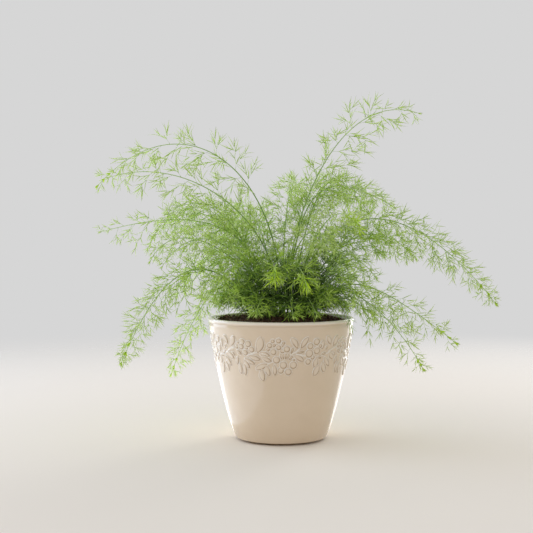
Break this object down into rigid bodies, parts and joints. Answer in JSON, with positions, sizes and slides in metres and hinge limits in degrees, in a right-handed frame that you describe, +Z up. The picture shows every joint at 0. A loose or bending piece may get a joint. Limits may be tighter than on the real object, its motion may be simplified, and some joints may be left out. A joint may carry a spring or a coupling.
{
  "type": "potted asparagus fern",
  "caption": "Arching feathery fern fronds growing from a woody crown in potting mix, in a round tapered glazed pot with a raised floral band.",
  "frame": {"origin": "centre of the pot's base, on the surface that it stands on", "axes": "+Z up, -Y towards the side the pot is seen from, +X to that viewer's right"},
  "size_m": [0.4103, 0.2501, 0.3414],
  "materials": {
    "glaze": "cream beige glossy glaze",
    "potting_mix": "dark crumbly bark and peat mix",
    "crown": "tan woody crown and fleshy storage roots",
    "frond": "green living stems, twigs and fine needles",
    "new_growth": "pale green tender new shoots"
  },
  "bodies": {
    "root": {"pot": "glaze", "soil": "potting_mix", "root_crown": "crown", "frond_01": "frond", "frond_02": "frond", "frond_03": "frond", "frond_04": "frond", "frond_05": "frond", "frond_06": "frond", "frond_07": "frond", "frond_08": "frond", "frond_09": "frond", "frond_10": "frond", "frond_11": "frond", "frond_12": "frond", "frond_13": "frond", "frond_14": "frond", "frond_15": "frond", "frond_16": "frond", "frond_17": "frond", "frond_18": "frond", "frond_19": "frond", "frond_20": "frond", "frond_21": "frond", "frond_22": "frond", "frond_23": "frond", "frond_24": "frond", "frond_25": "frond", "frond_26": "frond", "frond_27": "frond", "frond_28": "frond", "frond_29": "frond", "frond_30": "frond", "frond_31": "frond", "frond_32": "frond", "frond_33": "frond", "basal_spray_01": "frond", "basal_spray_02": "frond", "basal_spray_03": "frond", "basal_spray_04": "frond", "basal_spray_05": "frond", "basal_spray_06": "frond", "basal_spray_07": "frond", "basal_spray_08": "frond", "basal_spray_09": "frond", "basal_spray_10": "frond", "basal_spray_11": "frond", "new_shoot_1": "new_growth", "new_shoot_2": "new_growth", "new_shoot_3": "new_growth"}
  },
  "joints": []
}
